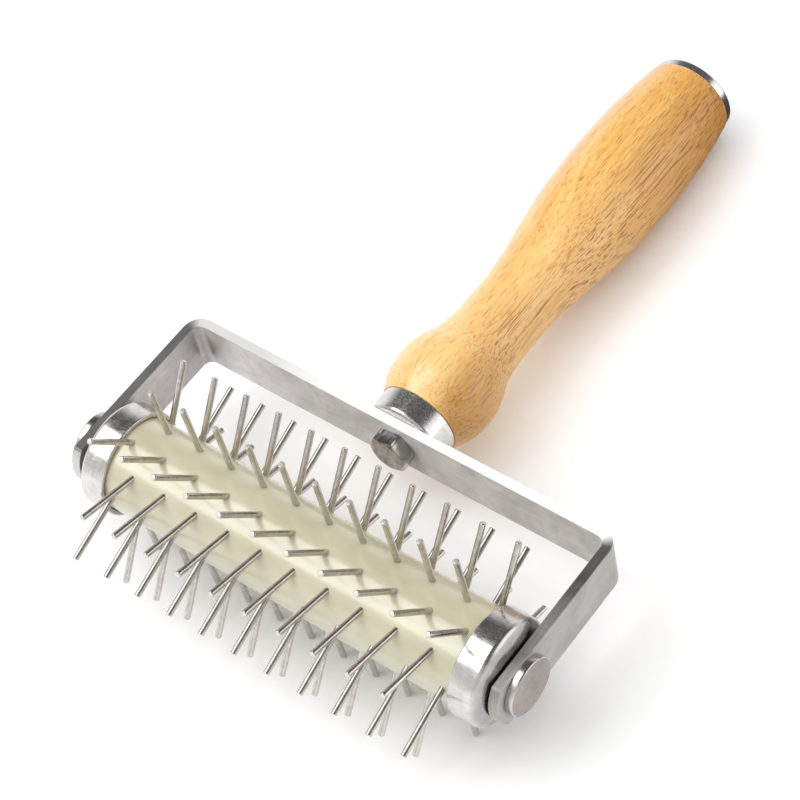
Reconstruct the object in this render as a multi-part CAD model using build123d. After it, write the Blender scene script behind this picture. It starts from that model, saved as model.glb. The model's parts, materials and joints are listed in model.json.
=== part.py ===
from build123d import *
from math import asin, atan2, cos, degrees, hypot, pi, radians, sqrt, tan
import os

# Dough docker: a roller full of steel pins turns on an axle held by a bent steel strip,
# and a turned wood handle is bolted to the strip. Sizes are millimetres and degrees.
# The tool is drawn straight: X runs along the axle, Y from the axle to the handle's end
# and Z square to the flat of the strip. At the end it is laid on a table, where it stands
# on two rows of pins and on the belly of the handle.

# Pins of the roller
pin_pitch = 10.0
long_row_count = 11
row_count = 10
pin_radius = 0.8
pin_length = 17.3
pin_depth = 4.0
pin_offset = 6.66
pin_sides = 6

# Plastic core
core_radius = 12.5
core_bore_gap = 0.7
collar_bevel = 0.3

# Steel cups on the ends of the core
cup_radius = 14.0
cup_wall = 1.2
cup_length = 7.4
cup_edge_bevel = 1.3
cup_dish = 1.1
cup_crown_radius = 8.5
cup_lip = 1.0
pin_to_cup = 1.4

# Bushes that run on the axle
bush_wall = 2.0
bush_length = 9.0
bush_nose = 0.2
running_gap = 0.06

# Axle and its two heads
axle_radius = 4.0
axle_hole_gap = 0.05
head_radius = 7.6
head_side = 2.0
head_rise = 0.5
head_bevel = 0.3
head_crown_radius = 3.0
stem_radius = 2.2
stem_length = 9.0
stem_end_gap = 1.0

# Bent strip
strip_thickness = 2.6
strip_width = 15.0
strip_bend = 2.4
crossbar_reach = 40.1
arm_end_round = 11.2
arm_end_centre = 0.8
end_float = 2.0
float_taken_share = 0.8

# Bolt that holds the handle
bolt_radius = 3.0
bolt_flats = 10.0
bolt_head_height = 4.0
bolt_length = 30.0
bolt_turn = -12.0
bolt_bevel = 30.0
bolt_end_bevel = 0.8
bolt_hole_gap = 0.2

# Ferrule between strip and wood
ferrule_length = 6.5
ferrule_base_radius = 10.3
ferrule_rim_radius = 10.7
ferrule_wall = 0.8
ferrule_floor = 1.0
ferrule_edge_bevel = 0.7

# Threaded insert in the wood
insert_radius = 4.5
insert_length = 16.0
insert_sink = 0.5
bolt_end_room = 2.0

# Turned handle, with places measured from its shoulder on the ferrule
shoulder_step = 0.2
bulb_place = 10.7
bulb_radius = 14.0
bulb_end_place = 18.4
bulb_end_radius = 12.4
waist_place = 33.4
waist_radius = 10.05
belly_start_place = 53.4
belly_place = 88.4
belly_radius = 14.5
belly_curve = 195.0
handle_length = 119.6
handle_end_bevel = 0.3

# Steel cap on the handle's end
cap_radius = 11.6
cap_wall = 0.6
cap_depth = 2.3
cap_edge_bevel = 0.4

# Places along the axle, from the middle of the roller
outer_pin = (long_row_count - 1) / 2 * pin_pitch
cup_mouth = outer_pin + pin_radius + pin_to_cup
cup_edge = cup_mouth + cup_length
cup_face = cup_edge + cup_dish
nose_face = cup_face + bush_nose
core_end = cup_edge - cup_wall

# Places along the axle, from the middle of the strip
arm_inside = nose_face + end_float / 2
arm_outside = arm_inside + strip_thickness
roller_shift = float_taken_share * end_float / 2

# Places along the handle, from the axle
crossbar_inside = crossbar_reach - strip_thickness
shoulder = crossbar_reach + ferrule_length
wood_end = shoulder + handle_length
cap_face = wood_end + cap_depth
bolt_tip = crossbar_inside + bolt_length

# Radii that one piece takes from another
bush_bore = axle_radius + running_gap
bush_radius = bush_bore + bush_wall
cup_inside = cup_radius - cup_wall
bolt_hole = bolt_radius + bolt_hole_gap
cap_seat_radius = cap_radius - cap_wall

# How the pins lean, and how far along its own axis each one starts and ends
pin_lean = asin(pin_offset / core_radius)
pin_surface = core_radius * cos(pin_lean)
pin_start = pin_surface - pin_depth
pin_tip = pin_surface + pin_length
row_step = 360.0 / row_count

# How far a cutting shape runs past what it cuts
overrun = 1.0


def resting_rows():
    """Direction of the first row, and height of the axle, with two rows of tips on the table."""
    first = Vector(pin_tip, pin_radius - pin_offset)
    second = Vector(pin_tip, -pin_radius - pin_offset).rotate(Axis.Z, row_step)
    chord = second - first
    direction = -degrees(atan2(chord.Y, chord.X))
    return direction, -first.rotate(Axis.Z, direction).Y


def resting_tilt(axle_height):
    """Angle by which the handle drops until the arc of its belly touches the table."""
    along = shoulder + belly_place
    inward = belly_curve - belly_radius
    drop = asin((axle_height - belly_curve) / hypot(along, inward))
    return degrees(drop + atan2(inward, along))


def turned(outline, axis, corner=None, bevel=0):
    """Solid made by turning a closed outline round an axis, with one corner of the outline bevelled."""
    face = make_face(outline)
    if corner:
        face = chamfer(face.vertices().sort_by_distance(corner)[0], bevel)
    return revolve(face, axis)


def mirrored(piece):
    """The like piece at the other end of the roller."""
    return mirror(piece, Plane.YZ)


def pin():
    """One pin, standing along Y. There are so many that each has few sides, two of them along the axle."""
    section = RegularPolygon(pin_radius, pin_sides, major_radius=False, rotation=90 - 180 / pin_sides)
    return Rot(X=-90) * extrude(section, pin_tip - pin_start)


def pin_row(row, direction):
    """Every second row has one pin less, so that its pins stand in the gaps of the next row."""
    count = long_row_count - row % 2
    one = pin()
    first = -(count - 1) / 2 * pin_pitch
    pins = [Pos(first + i * pin_pitch, pin_start, -pin_offset) * one for i in range(count)]
    return Rot(X=direction + row * row_step) * Compound(children=pins)


def roller_core(rows):
    """Plastic cylinder with a collar in each cup, an axle bore, bush seats and a blind hole for each pin."""
    outline = Polyline(
        (0, axle_radius + core_bore_gap),
        (nose_face - bush_length, axle_radius + core_bore_gap),
        (nose_face - bush_length, bush_radius),
        (core_end, bush_radius),
        (core_end, cup_inside - collar_bevel),
        (core_end - collar_bevel, cup_inside),
        (cup_mouth + cup_lip, cup_inside),
        (cup_mouth + cup_lip, core_radius),
        (0, core_radius),
        close=True,
    )
    half = turned(outline, Axis.X)
    core = half + mirrored(half)
    for row in rows:
        core -= row.solids()
    return core


def cup():
    """Pressed steel cup whose face rises towards its crown, with a hole there for the nose of the bush."""
    outline = Polyline(
        (cup_edge, cup_radius),
        (cup_mouth, cup_radius),
        (cup_mouth, cup_inside),
        (core_end, cup_inside),
        (cup_face - cup_wall, cup_crown_radius - cup_wall),
        (cup_face - cup_wall, bush_radius),
        (cup_face, bush_radius),
        (cup_face, cup_crown_radius),
        close=True,
    )
    return turned(outline, Axis.X, (cup_edge, cup_radius), cup_edge_bevel)


def bush():
    """Plain bush, seated in the core, whose nose comes out through the cup."""
    ring = Circle(bush_radius) - Circle(bush_bore)
    return Plane.YZ.offset(nose_face - bush_length) * extrude(ring, bush_length)


def head():
    """Round head on the right arm, its edges bevelled and its face slightly raised."""
    rim = arm_outside + head_side
    outline = Polyline(
        (rim + head_rise, 0),
        (arm_outside, 0),
        (arm_outside, head_radius - head_bevel),
        (arm_outside + head_bevel, head_radius),
        (rim - head_bevel, head_radius),
        (rim, head_radius - head_bevel),
        (rim + head_rise, head_crown_radius),
        close=True,
    )
    return turned(outline, Axis.X)


def axle():
    """Shaft from the right head to the outside of the left arm, bored there for the other head's stem."""
    shaft = Plane.YZ.offset(-arm_outside) * extrude(Circle(axle_radius), 2 * arm_outside)
    bore = Plane.YZ.offset(-arm_outside) * extrude(Circle(stem_radius), stem_length + stem_end_gap)
    return shaft + head() - bore


def axle_end_head():
    """Like head for the left end, with its stem pressed into the axle."""
    stem = Plane.YZ.offset(arm_outside - stem_length) * extrude(Circle(stem_radius), stem_length)
    return mirrored(head() + stem)


def yoke():
    """Strip bent to a U, its arms rounded at the ends and drilled for the axle and the bolt."""
    middle = strip_thickness / 2
    arm = arm_inside + middle
    low = arm_end_centre - arm_end_round
    top = crossbar_reach - middle
    corners = [(-arm, low), (-arm, top), (arm, top), (arm, low)]
    centre_line = FilletPolyline(*corners, radius=strip_bend + middle)
    strip = extrude(trace(centre_line, strip_thickness), strip_width / 2, both=True)
    tall = crossbar_reach - arm_end_centre + overrun
    upper = Rectangle(tall, 2 * arm_end_round, align=(Align.MIN, Align.CENTER))
    side = Pos(arm_end_centre, 0) * (Circle(arm_end_round) + upper)
    strip &= extrude(Plane.YZ * side, arm_outside + overrun, both=True)
    strip -= Rot(Y=90) * Cylinder(axle_radius + axle_hole_gap, 2 * (arm_outside + overrun))
    strip -= Pos(0, top, 0) * Rot(X=90) * Cylinder(bolt_hole, strip_thickness + 2 * overrun)
    return strip


def along_handle(place):
    """Plane square to the handle at a place, its normal towards the handle's end."""
    return Plane(origin=(0, place, 0), x_dir=(1, 0, 0), z_dir=(0, 1, 0))


def handle_bolt():
    """Hexagon bolt whose head bears on the inside of the crossbar and whose corners are bevelled."""
    flat = bolt_flats / 2
    hexagon = RegularPolygon(flat, 6, major_radius=False, rotation=bolt_turn)
    wide = flat / cos(pi / 6) + overrun
    fall = (wide - flat) * tan(radians(bolt_bevel))
    bevel = Polyline(
        (0, 0),
        (flat, 0),
        (wide, fall),
        (wide, bolt_head_height),
        (0, bolt_head_height),
        close=True,
    )
    bevelled = extrude(hexagon, bolt_head_height) & Rot(X=90) * turned(bevel, Axis.Y)
    shank = Cylinder(bolt_radius, bolt_length, align=(Align.CENTER, Align.CENTER, Align.MIN))
    shank = chamfer(shank.edges().sort_by(Axis.Z)[-1], bolt_end_bevel)
    bolt = bevelled + Pos(0, 0, bolt_head_height) * shank
    return along_handle(crossbar_inside - bolt_head_height) * bolt


def ferrule():
    """Pressed cup with a flat floor, slightly wider at its rim."""
    inner_base = ferrule_base_radius - ferrule_wall
    inner_rim = ferrule_rim_radius - ferrule_wall
    outline = Polyline(
        (bolt_hole, crossbar_reach),
        (ferrule_base_radius, crossbar_reach),
        (ferrule_rim_radius, shoulder),
        (inner_rim, shoulder),
        (inner_base, crossbar_reach + ferrule_floor),
        (bolt_hole, crossbar_reach + ferrule_floor),
        close=True,
    )
    return turned(outline, Axis.Y, (ferrule_base_radius, crossbar_reach), ferrule_edge_bevel)


def handle_insert():
    """Threaded steel insert that the bolt screws into, just below the face of the wood."""
    ring = Circle(insert_radius) - Circle(bolt_radius)
    return along_handle(crossbar_reach + ferrule_floor + insert_sink) * extrude(ring, insert_length)


def belly_at(place):
    """Radius of the belly's long arc at a place from the shoulder."""
    away = place - belly_place
    return belly_radius - belly_curve + sqrt(belly_curve**2 - away**2)


def handle():
    """Turned wood: spigot in the ferrule, bulb, waist, long belly and a seat for the cap."""
    spigot_face = crossbar_reach + ferrule_floor
    bulb = ThreePointArc(
        (ferrule_rim_radius + shoulder_step, shoulder),
        (bulb_radius, shoulder + bulb_place),
        (bulb_end_radius, shoulder + bulb_end_place),
    )
    belly = ThreePointArc(
        (belly_at(belly_start_place), shoulder + belly_start_place),
        (belly_radius, shoulder + belly_place),
        (belly_at(handle_length), wood_end),
    )
    waist = Spline(
        bulb @ 1,
        (waist_radius, shoulder + waist_place),
        belly @ 0,
        tangents=(bulb % 1, belly % 0),
    )
    far = Polyline(
        belly @ 1,
        (cap_seat_radius, wood_end),
        (cap_seat_radius, cap_face - cap_wall),
        (0, cap_face - cap_wall),
        (0, spigot_face),
        (ferrule_base_radius - ferrule_wall, spigot_face),
        (ferrule_rim_radius - ferrule_wall, shoulder),
        bulb @ 0,
    )
    wood = turned([bulb, waist, belly, far], Axis.Y, belly @ 1, handle_end_bevel)
    deep = bolt_tip + bolt_end_room - spigot_face
    bore = extrude(Circle(bolt_hole), deep) + extrude(Circle(insert_radius), insert_sink + insert_length)
    return wood - along_handle(spigot_face) * bore


def end_cap():
    """Thin pressed cap over the end of the wood."""
    outline = Polyline(
        (0, cap_face),
        (cap_radius, cap_face),
        (cap_radius, wood_end),
        (cap_seat_radius, wood_end),
        (cap_seat_radius, cap_face - cap_wall),
        (0, cap_face - cap_wall),
        close=True,
    )
    return turned(outline, Axis.Y, (cap_radius, cap_face), cap_edge_bevel)


def build():
    """Every piece under its name, drawn straight, with the roller at its place between the arms."""
    row_direction, axle_height = resting_rows()
    tilt = resting_tilt(axle_height)
    rows = [pin_row(row, row_direction + tilt) for row in range(row_count)]
    turning = {
        "roller_core": roller_core(rows),
        "cup_right": cup(),
        "cup_left": mirrored(cup()),
        "bush_right": bush(),
        "bush_left": mirrored(bush()),
    }
    for number, row in enumerate(rows, 1):
        turning[f"pin_row_{number:02d}"] = row
    pieces = {name: Pos(roller_shift, 0, 0) * piece for name, piece in turning.items()}
    pieces["yoke"] = yoke()
    pieces["axle"] = axle()
    pieces["axle_end_head"] = axle_end_head()
    pieces["handle_bolt"] = handle_bolt()
    pieces["ferrule"] = ferrule()
    pieces["handle_insert"] = handle_insert()
    pieces["handle"] = handle()
    pieces["end_cap"] = end_cap()
    return pieces, axle_height, tilt


def laid_down(pieces, axle_height, tilt):
    """The pieces on the table, which is at height zero, with the middle of their box over the origin."""
    laid = {name: Pos(0, 0, axle_height) * Rot(X=-tilt) * piece for name, piece in pieces.items()}
    boxes = [piece.bounding_box() for piece in laid.values()]
    shift = -(min(box.min.Y for box in boxes) + max(box.max.Y for box in boxes)) / 2
    return {name: Pos(0, shift, 0) * piece for name, piece in laid.items()}, shift


def main():
    pieces, axle_height, tilt = build()
    laid, shift = laid_down(pieces, axle_height, tilt)
    os.makedirs("parts", exist_ok=True)
    for name, piece in laid.items():
        export_step(piece, f"parts/{name}.step")
    print("axle at y", round(shift, 4), "z", round(axle_height, 4), "handle drops by", round(tilt, 5))


main()
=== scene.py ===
import json
from math import asin, atan2, cos, degrees, hypot, pi, radians, sin, sqrt, tan

import bmesh
import bpy
from mathutils import Matrix, Vector


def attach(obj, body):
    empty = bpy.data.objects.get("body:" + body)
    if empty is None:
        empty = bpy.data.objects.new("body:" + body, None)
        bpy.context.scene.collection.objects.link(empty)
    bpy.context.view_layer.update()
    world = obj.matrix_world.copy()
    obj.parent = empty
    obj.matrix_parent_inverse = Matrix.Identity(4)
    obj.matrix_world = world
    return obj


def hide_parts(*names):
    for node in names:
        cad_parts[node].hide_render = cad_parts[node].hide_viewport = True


# Dough docker: the dressed pieces round the fixed frame.
# Sizes are millimetres and angles degrees unless a comment says otherwise. Each piece is made
# straight, with x along the axle, y from the axle to the handle's end and z square to the
# flat of the strip, and its mesh is then turned to lie as the frame lies on the table.

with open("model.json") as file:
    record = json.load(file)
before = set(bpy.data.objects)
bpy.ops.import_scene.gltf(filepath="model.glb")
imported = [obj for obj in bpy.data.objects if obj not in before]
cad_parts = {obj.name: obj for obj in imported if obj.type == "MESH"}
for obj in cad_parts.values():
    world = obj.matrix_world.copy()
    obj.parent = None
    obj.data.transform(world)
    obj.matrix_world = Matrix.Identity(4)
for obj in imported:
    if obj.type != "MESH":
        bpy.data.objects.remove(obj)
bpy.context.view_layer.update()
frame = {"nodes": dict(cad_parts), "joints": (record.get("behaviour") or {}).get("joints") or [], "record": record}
scene = bpy.context.scene

MM = 0.001
PER_MM = 1 / MM

# Pins
PIN_PITCH = 10.0
PIN_COUNT = 11
ROW_COUNT = 10
PIN_RADIUS = 0.8
PIN_TIP_ROUND = 0.26
PIN_LENGTH = 17.3
PIN_DEPTH = 4.0
PIN_OFFSET = 6.66
PIN_SIDES = 20
PIN_TIP_STEPS = 4

# Plastic core
CORE_RADIUS = 12.5
CORE_BORE = 4.7
CORE_SEAT = 0.3

# Cups
CUP_MOUTH = 52.2
CUP_EDGE = 59.6
CUP_FACE = 60.7
CUP_RADIUS = 14.0
CUP_WALL = 1.2
CUP_BAND_END = 58.3
# Place from the roller's middle where the painted shade on the cups' faces is full
CUP_FACE_SHADE_FULL = 59.9
CUP_CROWN = 8.0
CUP_LIP = 1.0
CUP_RIM_ROUND = 0.4
CUP_RIM_ROUND_INSIDE = 0.3
BUSH_RADIUS = 6.06
BUSH_NOSE = 60.9
BUSH_LENGTH = 9.0

# Axle and heads
AXLE_RADIUS = 4.0
HEAD_RADIUS = 7.6
HEAD_SIDE = 2.0
HEAD_DOME = 0.5
HEAD_ROUND = 0.5
HEAD_BACK_ROUND = 0.2

# Strip
STRIP_THICKNESS = 2.6
STRIP_WIDTH = 15.0
STRIP_BEND = 2.4
STRIP_BREAK = 0.22
STRIP_BREAK_STEPS = 3
CROSSBAR_OUTSIDE = 40.1
ARM_INSIDE = 61.9
ARM_END_ROUND = 11.2
ARM_END_CENTRE = 0.8
AXLE_HOLE = 4.05
BOLT_HOLE = 3.2

# Bolt
BOLT_FLATS = 10.0
BOLT_HEAD = 4.0
BOLT_RADIUS = 3.0
BOLT_LENGTH = 30.0
BOLT_TURN = -12.0
BOLT_BEVEL = 30.0
BOLT_TIP = 0.8
# The bevel's width at the flats, as a share of half the flats
BOLT_BEVEL_WIDTH = 0.05
# At its foot the head narrows to this share of its width, over this height
BOLT_FOOT_SHARE = 0.97
BOLT_FOOT = 0.15
# Rings of the dished face: how deep each lies, and its radius as a share of half the flats
BOLT_DISH = ((0.12, 0.6), (0.1, 0.7), (0.0, 0.8), (0.0, 0.94))

# Ferrule
SHOULDER = 46.6
FERRULE_BASE = 10.3
FERRULE_RIM = 10.7
FERRULE_WALL = 0.8
FERRULE_FLOOR = 1.0
FERRULE_ROUND = 1.0
FERRULE_RIM_ROUND = 0.2

# Handle, with places from its shoulder
SHOULDER_STEP = 0.2
BULB_PLACE = 10.7
BULB_RADIUS = 14.0
BULB_END_PLACE = 18.4
BULB_END_RADIUS = 12.4
WAIST_PLACE = 33.4
WAIST_RADIUS = 10.05
BELLY_START = 53.4
BELLY_PLACE = 88.4
BELLY_RADIUS = 14.5
BELLY_CURVE = 195.0
HANDLE_LENGTH = 119.6
HANDLE_END_ROUND = 0.4
HANDLE_END_MIDDLE = 0.7

# End cap
CAP_RADIUS = 11.6
CAP_WALL = 0.6
CAP_DEPTH = 2.3
CAP_ROUND = 0.5
CAP_RIM_ROUND = 0.15

# How finely round shapes are made
TURN_SIDES = 144
HANDLE_SIDES = 192
HEXAGON_STEPS = 96
HOLE_SIDES = 48
ROUND_STEPS = 6
PRESSED_STEPS = 8
SWELL_STEPS = 24
DOME_STEPS = 6
ARM_END_STEPS = 24
BEND_STEPS = 14
BULB_STEPS = 48
WAIST_STEPS = 30
BELLY_STEPS = 80
SMOOTH_ANGLE = 32.0
SAME_POINT = 0.0008

# How squarely a face must look along an axis to count as lying across it
SQUARE_ON = 0.9
SQUARE_ON_BOLT = 0.95
SQUARE_ON_STRIP = 0.6

# Places along the strip, from the crossbar's middle and from the arm's start, where its painted shade and its
# finish change
BAR_SHADE_FADES = (-42.0, -14.0)
ARM_WEARS = (8.0, 42.0)

# Places from the axle where the wood's finish and the painted shade of its right side change
SIDE_HELD_BACK = (58.0, 80.0)
BULB_SIDE_ENDS = (58.0, 78.0)
MARKS_DEEPEN = (62.0, 84.0)
PALE_ENDS = (66.0, 128.0)
SIDE_DARKENS_FROM = 112.0
CAP_END_DARKENS_FROM = 128.0

# How much of a pore's reach is fully dark
PORE_HEART = 0.55

# Name of the strip's map: millimetres along the strip, and across it
GRAIN = "grain"

# Between these lie most of the values of a noise
MOST = (0.3, 0.7)

# Camera, in the straight tool's millimetres
CAMERA_PLACE = (274.271, -199.369, 493.671)
CAMERA_AIM = (-7.38, 48.6, 0.0)
CAMERA_ROLL = -14.58
CAMERA_LENS = 113.94
CAMERA_SENSOR = 36.0
CAMERA_NEAR = 10.0

# Room and lamps, in metres, with angles in degrees and lamps in watts
SHELL_REACH = 2.4
SHELL_RISE = 12
SHELL_STEP = 6
SHELL_SIDES = 48
SHELL_FRONT = (-1.4, -0.4)
SHELL_LOW = (0.7, 1.15)
FLOOR_REACH = 3.0
FLOOR_GLOW = 0.55
FLOOR_GLOW_PLACES = (0.4, 1.1)
CARD_CENTRE = (0.065, 0.12, 0.0005)
CARD_DARK = 0.05
CARD_REACH = 0.11
SQUARE_CORNERS = ((-1, -1), (1, -1), (1, 1), (-1, 1))
SKY_LEVEL = 0.56
LAMP_AIM = (0, 0, 0.02)
# Name, place, the way its length lies, length, width, watts, and whether gloss mirrors it
LAMPS = (
    ("left_softbox", (-0.56, -0.31, 1.06), (0, 1, 0.3), 1.05, 0.8, 7.7, True),
    ("right_softbox", (1.1, 0.58, 0.38), (0, 0, 1), 0.75, 1.0, 2.6, True),
    ("top_fill", (0.15, 0.05, 1.18), (1, 0, 0), 0.9, 0.9, 5.2, False),
)

# Places that follow from the sizes
ARM_OUTSIDE = ARM_INSIDE + STRIP_THICKNESS
CROSSBAR_INSIDE = CROSSBAR_OUTSIDE - STRIP_THICKNESS
WOOD_END = SHOULDER + HANDLE_LENGTH
CAP_FACE = WOOD_END + CAP_DEPTH
CUP_INSIDE = CUP_RADIUS - CUP_WALL
CAP_SEAT = CAP_RADIUS - CAP_WALL


def lie():
    """Where the straight tool's frame lies on the table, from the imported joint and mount."""
    axle = frame["joints"][0]["pos_m"]
    handle = frame["record"]["mounts"][0]["axis"]
    drop = atan2(-handle[2], handle[1])
    return Matrix.Translation((0, axle[1], axle[2])) @ Matrix.Rotation(-drop, 4, "X")


LIE = lie()
DROP = degrees(atan2(-LIE[2][1], LIE[1][1]))
ROLLER_SHIFT = frame["joints"][0]["pos_m"][0]


# ---------------------------------------------------------------- mesh helpers


def rounded(points, radii, steps=ROUND_STEPS):
    """The closed outline with an arc at each corner that radii gives a radius for."""
    outline = []
    for index, point in enumerate(points):
        corner = Vector(point)
        radius = radii.get(index)
        if not radius:
            outline.append(corner)
            continue
        back = (Vector(points[index - 1]) - corner).normalized()
        ahead = (Vector(points[(index + 1) % len(points)]) - corner).normalized()
        half = back.angle(ahead) / 2
        centre = corner + (back + ahead).normalized() * radius / sin(half)
        start = corner + back * radius / tan(half) - centre
        end = corner + ahead * radius / tan(half) - centre
        for step in range(steps + 1):
            outline.append(centre + start.lerp(end, step / steps).normalized() * radius)
    return outline


def spun(bm, outline, axis, sides=TURN_SIDES):
    """Adds the closed outline of (place, radius) points, turned round the x or y axis."""
    verts = []
    for place, radius in outline:
        flat = (place, 0, radius) if axis == "x" else (0, place, radius)
        verts.append(bm.verts.new(Vector(flat) * MM))
    edges = [bm.edges.new(pair) for pair in zip(verts, verts[1:] + verts[:1])]
    line = (1, 0, 0) if axis == "x" else (0, 1, 0)
    whole = {"cent": (0, 0, 0), "axis": line, "angle": 2 * pi, "steps": sides}
    bmesh.ops.spin(bm, geom=verts + edges, use_merge=True, **whole)
    bmesh.ops.remove_doubles(bm, verts=bm.verts, dist=SAME_POINT * MM)
    bmesh.ops.recalc_face_normals(bm, faces=bm.faces)


def piece(name, bm, finishes):
    """Object made from the mesh being edited, still straight, with its finishes."""
    mesh = bpy.data.meshes.new(name)
    bm.to_mesh(mesh)
    bm.free()
    mesh.shade_smooth()
    mesh.set_sharp_from_angle(angle=radians(SMOOTH_ANGLE))
    for material in finishes:
        mesh.materials.append(material)
    made = bpy.data.objects.new(name, mesh)
    scene.collection.objects.link(made)
    weighted = made.modifiers.new("even_normals", "WEIGHTED_NORMAL")
    weighted.keep_sharp = True
    return made


def turned(name, outline, axis, material, sides=TURN_SIDES):
    """Turned piece with one finish."""
    bm = bmesh.new()
    spun(bm, outline, axis, sides)
    return piece(name, bm, [material])


def place_on(made, body, slot, *nodes):
    """Lays the piece as the frame lies, hangs it on its body and hides the CAD nodes it stands for; slot is not
    used.
    """
    shift = ROLLER_SHIFT if body == "roller" else 0
    made.data.transform(Matrix.Translation((shift, 0, 0)) @ LIE)
    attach(made, body)
    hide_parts(*nodes)


def mirrored(outline):
    """The outline at the other end of the axle."""
    return [(-place, radius) for place, radius in outline]


# ---------------------------------------------------------------- material helpers


def add(tree, kind, inputs=None, **settings):
    """New shader node with its settings, and with its inputs set to values or linked to outputs."""
    made = tree.nodes.new(kind)
    for name, value in settings.items():
        setattr(made, name, value)
    for name, value in (inputs or {}).items():
        if isinstance(value, bpy.types.NodeSocket):
            tree.links.new(value, made.inputs[name])
        else:
            made.inputs[name].default_value = value
    return made


def finish(name, **constants):
    """New material with constants on its shader, its tree and that shader."""
    material = bpy.data.materials.new(name)
    material.use_nodes = True
    shader = material.node_tree.nodes["Principled BSDF"]
    for socket, value in constants.items():
        shader.inputs[socket.replace("_", " ")].default_value = value
    return material, material.node_tree, shader


def feed(tree, shader, **outputs):
    """Links outputs to the shader's sockets."""
    for socket, output in outputs.items():
        tree.links.new(output, shader.inputs[socket.replace("_", " ")])


def even(stretch):
    """The same stretch in all directions."""
    return (stretch, stretch, stretch)


def spot(tree, stretch=(1, 1, 1)):
    """Place on the straight tool in millimetres, multiplied by stretch."""
    where = add(tree, "ShaderNodeTexCoord").outputs["Object"]
    scale = [MM / part for part in stretch]
    inputs = {"Vector": where, "Location": LIE.translation, "Rotation": LIE.to_euler(), "Scale": scale}
    return add(tree, "ShaderNodeMapping", inputs, vector_type="TEXTURE").outputs["Vector"]


def noise(tree, stretch, detail=3.0, rough=0.55, distort=0.0):
    """Noise with about one wave per 1/stretch millimetres."""
    inputs = {"Vector": spot(tree, stretch), "Scale": 1.0, "Detail": detail}
    inputs |= {"Roughness": rough, "Distortion": distort}
    return add(tree, "ShaderNodeTexNoise", inputs).outputs["Fac"]


def spread(tree, value, low, high, out_low=0.0, out_high=1.0):
    """The value's range from low to high made into another range, and held to it."""
    inputs = {"Value": value, "From Min": low, "From Max": high, "To Min": out_low, "To Max": out_high}
    return add(tree, "ShaderNodeMapRange", inputs, clamp=True).outputs["Result"]


def mixed(tree, factor, first, second, blend="MIX"):
    """Mix of two colours."""
    made = add(tree, "ShaderNodeMix", data_type="RGBA", blend_type=blend)
    for socket, value in ((made.inputs[0], factor), (made.inputs[6], first), (made.inputs[7], second)):
        if isinstance(value, bpy.types.NodeSocket):
            tree.links.new(value, socket)
        else:
            socket.default_value = value
    return made.outputs[2]


def maths(tree, operation, first, second):
    """Two values put together."""
    made = add(tree, "ShaderNodeMath", operation=operation)
    for socket, value in zip(made.inputs, (first, second)):
        if isinstance(value, bpy.types.NodeSocket):
            tree.links.new(value, socket)
        else:
            socket.default_value = value
    return made.outputs[0]


def bump(tree, shader, height, depth, strength=1.0):
    """Bumps the surface by a height whose full range is depth millimetres."""
    inputs = {"Height": height, "Distance": depth * MM, "Strength": strength}
    made = add(tree, "ShaderNodeBump", inputs)
    feed(tree, shader, Normal=made.outputs["Normal"])


def colour(red, green, blue):
    """Colour written as it looks on a screen, 0 to 255, for a shader."""
    parts = [part / 255 for part in (red, green, blue)]
    return [part / 12.92 if part < 0.04045 else ((part + 0.055) / 1.055) ** 2.4 for part in parts] + [1.0]


# ---------------------------------------------------------------- finishes


def steel(name, tint, dark, rough, along, scratch, warmth=0.0):
    """Steel with fine streaks along one direction, soft mottling and warm brownish patches so far as asked."""
    material, tree, shader = finish(name, Metallic=1.0)
    across = [3.2, 3.2, 3.2]
    across["xyz".index(along)] = 0.12
    streaks = noise(tree, across, 4.0, 0.6)
    patches = noise(tree, even(0.16), 3.0, 0.6, 0.6)
    streaked = spread(tree, streaks, *MOST, 0, 0.5)
    tone = maths(tree, "ADD", streaked, spread(tree, patches, 0.35, 0.7, 0, 0.5))
    warm_patches = spread(tree, noise(tree, even(0.11), 2.0, 0.5, 0.4), 0.42, 0.6, 0, warmth)
    shade = mixed(tree, warm_patches, mixed(tree, tone, dark, tint), colour(198, 156, 130))
    clouded = spread(tree, patches, *MOST, 0, 0.15)
    wear = maths(tree, "ADD", clouded, spread(tree, streaks, 0.3, 0.75, 0, scratch))
    feed(tree, shader, Base_Color=shade, Roughness=maths(tree, "ADD", wear, rough))
    bump(tree, shader, streaks, 0.003)
    return material


def strip_grain(tree, shader):
    """Turns the gloss along the strip, and gives the place along it and its fine streaks."""
    tangent = add(tree, "ShaderNodeTangent", direction_type="UV_MAP", uv_map=GRAIN)
    feed(tree, shader, Tangent=tangent.outputs["Tangent"])
    layout = add(tree, "ShaderNodeUVMap", uv_map=GRAIN).outputs["UV"]
    along = add(tree, "ShaderNodeSeparateXYZ", {"Vector": layout}).outputs["X"]
    drawn = add(tree, "ShaderNodeMapping", {"Vector": layout, "Scale": (0.07, 2.4, 1.0)})
    inputs = {"Vector": drawn.outputs["Vector"], "Scale": 1.0, "Detail": 5.0}
    return along, add(tree, "ShaderNodeTexNoise", inputs).outputs["Fac"]


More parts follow.
